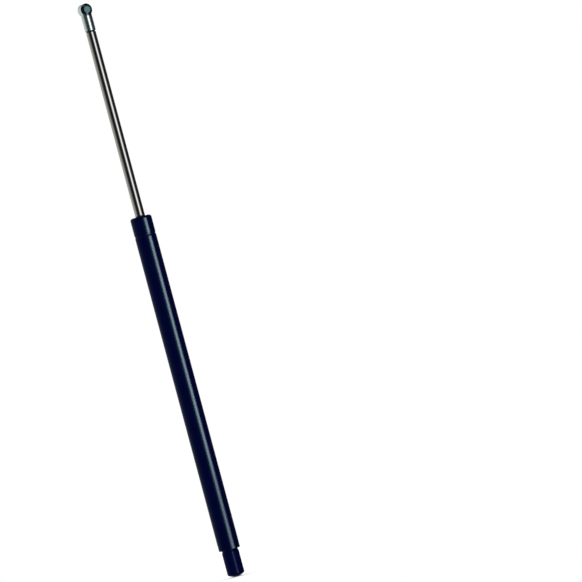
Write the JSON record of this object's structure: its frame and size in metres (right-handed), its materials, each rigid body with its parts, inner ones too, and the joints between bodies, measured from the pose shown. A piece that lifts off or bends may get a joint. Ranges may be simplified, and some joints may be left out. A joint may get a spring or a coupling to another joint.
{
  "type": "gas strut stay",
  "caption": "Gas strut stay: sealed black cylinder tube with a sliding bright rod and a sprung ball socket at each end, for holding a window or shutter open.",
  "frame": {"origin": "centre of the ball seat in the tube-end socket", "axes": "+Z along the strut from the tube end to the rod end; +Y out of the mouths of both ball seats; +X completes the frame"},
  "size_m": [0.022, 0.022, 0.5989],
  "materials": {
    "tube_paint": "smooth near-black navy paint, satin to semi-gloss",
    "plug_steel": "black painted steel",
    "plain_steel": "plain turned steel",
    "socket_black": "black glass-filled nylon, satin",
    "spring_steel": "spring steel",
    "guide_metal": "turned aluminium",
    "liner_bronze": "bronze bearing liner",
    "seal_rubber": "black nitrile rubber",
    "retainer_plastic": "dark nylon",
    "rod_bright": "ground and hard-chromed steel, mirror bright with fine ring scratches",
    "piston_metal": "sintered iron",
    "ring_plastic": "off-white bearing plastic",
    "zinc_plate": "bright zinc plate with a faint blue-green passivation"
  },
  "bodies": {
    "barrel": {"cylinder_tube": "tube_paint", "tube_end_plug": "plug_steel", "tube_end_stud": "plain_steel", "tube_end_socket": "socket_black", "end_washer": "plain_steel", "rod_guide": "guide_metal", "guide_liner": "liner_bronze", "guide_o_ring": "seal_rubber", "rod_seal": "seal_rubber", "seal_support_washer": "plain_steel", "seal_retainer": "retainer_plastic"},
    "tube_clip": {"tube_socket_clip": "spring_steel"},
    "ring_carrier": {"piston_ring": "ring_plastic"},
    "rod": {"piston_rod": "rod_bright", "piston_stop_washer": "plain_steel", "piston": "piston_metal", "piston_flapper_disc": "spring_steel", "piston_backing_washer": "plain_steel", "rod_end_socket": "zinc_plate"},
    "rod_clip": {"rod_socket_clip": "spring_steel"}
  },
  "joints": [
    {"name": "rod_slide", "type": "slide", "parent": "barrel", "child": "ring_carrier", "axis": [0, 0, -1], "range_m": [0, 0.19], "stiffness_N_per_m": 260, "springref_m": -0.77},
    {"name": "rod_spin", "type": "hinge", "parent": "ring_carrier", "child": "rod", "pos_m": [0, 0, 0.34], "axis": [0, 0, 1], "continuous": true},
    {"name": "tube_clip_release", "type": "slide", "parent": "barrel", "child": "tube_clip", "axis": [1, 0, 0], "range_m": [0, 0.0042]},
    {"name": "rod_clip_release", "type": "slide", "parent": "rod", "child": "rod_clip", "axis": [0, 0, 1], "range_m": [0, 0.0085]}
  ]
}
